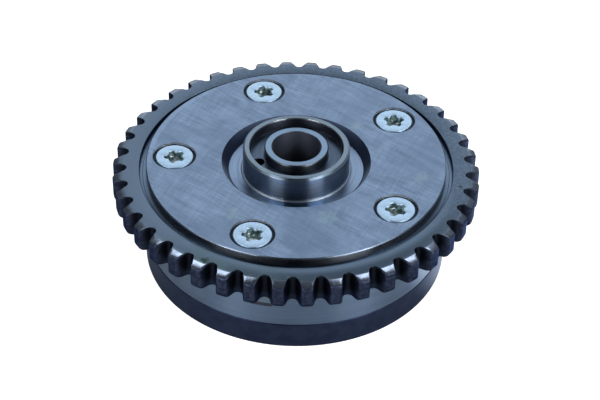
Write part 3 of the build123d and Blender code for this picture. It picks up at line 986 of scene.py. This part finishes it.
def add_ring(machined_steel, oxide_steel, bevel_steel):
    """The ring: up its inner side, over the top, down the teeth and back to the start."""
    rows, kinds = zip(*ring_inner_rows(), *ring_top_rows(), *ring_tooth_rows())
    ring = add_rows("toothed_ring", rows, kinds, (machined_steel, oxide_steel, bevel_steel))
    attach(ring, "housing")
    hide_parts("sprocket_ring")


# The cover screws, with their threads and rounded edges. Their rows hold a radius and a height for each turn.

screw_turns = [2 * pi * column / screw_columns for column in range(screw_columns)]


def drive_radius(angle):
    """Edge of the five-lobe recess at an angle from the first lobe."""
    lobe_step = 2 * pi / lobe_count
    aside = angle % lobe_step - lobe_step / 2
    reach = lobe_notch_radius ** 2 - (lobe_notch_place * sin(aside)) ** 2
    if reach < 0:
        return lobe_radius
    return min(lobe_radius, lobe_notch_place * cos(aside) - sqrt(reach))


def thread_cut(share):
    """Depth at a share of a pitch: the crest, the flank, the root and the other flank."""
    rise = min(1.0, max(0.0, abs(share - 0.5) * thread_flank_slope - thread_root_share))
    return thread_depth * (1 - rise)


def screw_circle(radius, height):
    return [(radius, height)] * screw_columns


def screw_recess_rows():
    """The recess, from the middle of its floor up to its rounded mouth."""
    lobes = [drive_radius(turn) for turn in screw_turns]
    floor = head_top - lobe_depth
    rows = [screw_circle(0.0, floor)]
    for share, rise in lobe_floor_rows:
        rows.append([(lobe * share, floor + rise) for lobe in lobes])
    for turn in quarter_turns(4):
        wider = lobe_mouth_rounding * (1 - cos(turn))
        level = head_top - lobe_mouth_rounding * (1 - sin(turn))
        rows.append([(lobe + wider, level) for lobe in lobes])
    return rows


def screw_head_rows():
    """The head's rounded edge, its rim and its cone, then the plain shank."""
    rows = []
    for turn in quarter_turns(5):
        reach = head_radius - head_rim_rounding * (1 - sin(turn))
        rows.append(screw_circle(reach, head_top - head_rim_rounding * (1 - cos(turn))))
    cone_bottom = housing_top + seat_land
    slope = (head_radius - neck_radius) / (head_top - head_rim - cone_bottom)
    rows.append(screw_circle(head_radius, head_top - head_rim))
    rows.append(screw_circle(neck_radius, cone_bottom))
    rows.append(screw_circle(screw_radius, cone_bottom - (neck_radius - screw_radius) / slope))
    rows.append(screw_circle(screw_radius, thread_end + thread_runout))
    return rows


def screw_thread_rows():
    """The thread, each row a pitch higher at its last column than at its first, then the screw's tip."""
    start = screw_bottom + screw_tip_chamfer
    top_step = round((thread_end - start) / thread_pitch * thread_steps) - thread_steps
    rows = []
    for step in range(top_step, -1, -1):
        cut = thread_cut(step % thread_steps / thread_steps)
        row = []
        for turn in screw_turns:
            height = start + thread_pitch * (step / thread_steps + turn / (2 * pi))
            below_end = (thread_end - height) / thread_pitch
            above_start = (height - start) / thread_pitch + thread_start_depth
            row.append((screw_radius - cut * max(0.0, min(1.0, below_end, above_start)), height))
        rows.append(row)
    rows.append(screw_circle(screw_radius - thread_depth / 2, start))
    rows.append(screw_circle(screw_radius - screw_tip_chamfer, screw_bottom))
    rows.append(screw_circle(0.0, screw_bottom))
    return rows


def add_screw(number, plating):
    """One screw, set in its place and turned so that its first lobe is where the photo has it."""
    angle = screw_angles[number]
    centre_x = screw_circle_radius * cos(angle)
    centre_y = screw_circle_radius * sin(angle)
    first_lobe = angle + lobe_turns[number]
    rows = []
    for row in screw_recess_rows() + screw_head_rows() + screw_thread_rows():
        points = []
        for turn, (radius, height) in zip(screw_turns, row):
            x = centre_x + radius * cos(first_lobe + turn)
            y = centre_y + radius * sin(first_lobe + turn)
            points.append((x, y, height))
        rows.append(points)
    screw = add_rows(f"lobed_screw_{number + 1}", rows, [0] * len(rows), (plating,), closed=False)
    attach(screw, "housing")
    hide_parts(f"cover_screw_{number + 1}")


def add_pin_coil(material):
    """The locking pin's spring, which in the object shortens as the pin goes in; here a copy of its CAD
    piece, held by the rotor.
    """
    mesh = nodes["lock_pin_spring"].data.copy()
    mesh.materials.clear()
    mesh.materials.append(material)
    coil = bpy.data.objects.new("pin_coil", mesh)
    bpy.context.scene.collection.objects.link(coil)
    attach(coil, "rotor")
    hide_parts("lock_pin_spring")
    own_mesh(coil)


def dress(node, material):
    """Gives a CAD node its material."""
    mesh = nodes[node].data
    mesh.materials.clear()
    mesh.materials.append(material)


# The studio

def heading_axes():
    """The camera's right hand, the level direction of its view, and up."""
    level = Vector((cos(camera_heading), sin(camera_heading), 0))
    side = Vector((sin(camera_heading), -cos(camera_heading), 0))
    return side, level, Vector((0, 0, 1))


def add_camera():
    """The camera where the photo was taken from."""
    side, level, up = heading_axes()
    forward = level * cos(camera_pitch) - up * sin(camera_pitch)
    upright = level * sin(camera_pitch) + up * cos(camera_pitch)
    right = side * cos(camera_roll) - upright * sin(camera_roll)
    top = side * sin(camera_roll) + upright * cos(camera_roll)
    stand = Vector((0, 0, cover_top)) - right * aim_left - top * aim_up - forward * camera_depth
    data = bpy.data.cameras.new("camera")
    data.sensor_width = sensor_width
    data.lens = focal_length_px / image_width_px * sensor_width
    camera = bpy.data.objects.new("camera", data)
    camera.matrix_world = Matrix.Translation(stand) @ Matrix((right, top, -forward)).transposed().to_4x4()
    bpy.context.scene.collection.objects.link(camera)
    bpy.context.scene.camera = camera


def add_panel(name, low_end, high_end, width, radiance):
    """A soft rectangular light between two points, turned towards the origin."""
    side, level, up = heading_axes()
    low, high = (side * right + level * beyond + up * rise for right, beyond, rise in (low_end, high_end))
    middle = (low + high) / 2
    along = (high - low).normalized()
    back = (middle - along * middle.dot(along)).normalized()
    data = bpy.data.lights.new(name, "AREA")
    data.shape = "RECTANGLE"
    data.size = width
    data.size_y = (high - low).length
    data.color = panel_tint
    data.energy = radiance * pi * width * data.size_y
    lamp = bpy.data.objects.new(name, data)
    turn = Matrix((along.cross(back), along, back)).transposed().to_4x4()
    lamp.matrix_world = Matrix.Translation(middle) @ turn
    bpy.context.scene.collection.objects.link(lamp)


def add_world():
    """A dim room with a bright backdrop beyond the object and a dark front, white to the camera."""
    world = bpy.data.worlds.new("studio")
    world.use_nodes = True
    tree = world.node_tree
    tree.nodes.clear()
    direction = add_node(tree, "ShaderNodeTexCoord").outputs["Generated"]
    right, beyond, rise = (share_along(tree, direction, axis) for axis in heading_axes())
    aside = maths(tree, "ABSOLUTE", right)
    backdrop = times(
        tree,
        ramp(tree, beyond, *backdrop_beyond),
        ramp(tree, rise, *backdrop_up),
        ramp(tree, aside, *backdrop_aside),
    )
    front = times(tree, ramp(tree, beyond, *front_beyond), ramp(tree, aside, *front_aside))
    overhead = ramp(tree, rise, *overhead_up)
    strength = ramp(tree, right, *room_change, room_left_strength, room_right_strength)
    strength = minus(tree, strength, times(tree, overhead, overhead_dimming))
    strength = plus(tree, strength, times(tree, backdrop, backdrop_strength))
    strength = times(tree, strength, minus(tree, 1.0, times(tree, front, front_dimming)))
    camera_ray = add_node(tree, "ShaderNodeLightPath").outputs["Is Camera Ray"]
    shown = maths(tree, "MAXIMUM", strength, camera_ray)
    color = blend(tree, camera_ray, light_tint, white)
    light = add_node(tree, "ShaderNodeBackground", {"Color": color, "Strength": shown})
    add_node(tree, "ShaderNodeOutputWorld", {"Surface": light.outputs[0]})
    bpy.context.scene.world = world


def floor_paper():
    """Pale paper, white to the camera, with a painted glow on the right that only the metal's reflections
    see.
    """
    material = bpy.data.materials.new("floor_paper")
    material.use_nodes = True
    tree = material.node_tree
    tree.nodes.clear()
    side, level, up = heading_axes()
    here = add_node(tree, "ShaderNodeTexCoord").outputs["Object"]
    heading = vector_maths(tree, "NORMALIZE", here).outputs[0]
    towards_right = side * cos(floor_painted_glow_turn) + level * sin(floor_painted_glow_turn)
    # A painted glow on the floor to the right, seen only in reflections
    brighter = ramp(tree, share_along(tree, heading, towards_right), *floor_painted_glow_arc, 0.0, floor_painted_glow)
    ray = add_node(tree, "ShaderNodeLightPath").outputs
    to_camera = times(tree, ray["Is Camera Ray"], floor_glow)
    shine = plus(tree, to_camera, times(tree, ray["Is Glossy Ray"], brighter))
    paper = add_node(tree, "ShaderNodeBsdfDiffuse", {"Color": (floor_grey, floor_grey, floor_grey, 1.0)})
    glow = add_node(tree, "ShaderNodeEmission", {"Color": (*white, 1.0), "Strength": shine})
    both = add_node(tree, "ShaderNodeAddShader", {0: paper.outputs[0], 1: glow.outputs[0]})
    add_node(tree, "ShaderNodeOutputMaterial", {"Surface": both.outputs[0]})
    return material


def add_floor():
    """A wide pale floor, which keeps the object's shadow."""
    corners = [(x * floor_reach, y * floor_reach, 0) for x, y in ((-1, -1), (1, -1), (1, 1), (-1, 1))]
    mesh = bpy.data.meshes.new("floor")
    mesh.from_pydata(corners, [], [(0, 1, 2, 3)])
    mesh.materials.append(floor_paper())
    floor = bpy.data.objects.new("floor", mesh)
    bpy.context.scene.collection.objects.link(floor)


add_camera()
add_world()
add_floor()
for panel in panels:
    add_panel(*panel)
bpy.context.scene.view_settings.view_transform = "Standard"

ring_steel = ring_top_steel()
hard_steel = plain_steel("hard_steel", hard_steel_color, roughness=0.25)
spring_steel = plain_steel("spring_steel", spring_steel_color, roughness=0.3)
plating = zinc()

dress("cover_plate", ground_steel())
dress("sprocket_ring", ring_steel)
add_ring(ring_steel, ring_oxide(), ring_bevel_steel())
dress("stator_housing", drum_steel())
dress("end_plate", black_oxide())
dress("rotor", rotor_steel())
dress("centre_sleeve", sleeve_steel())
for name in ("lock_bush", "locating_dowel", "lock_pin"):
    dress(name, hard_steel)
dress("lock_pin_spring", spring_steel)
add_pin_coil(spring_steel)
for number in range(screw_count):
    dress(f"cover_screw_{number + 1}", plating)
    dress(f"vane_{number + 1}", hard_steel)
    dress(f"vane_spring_{number + 1}", spring_steel)
    add_screw(number, plating)
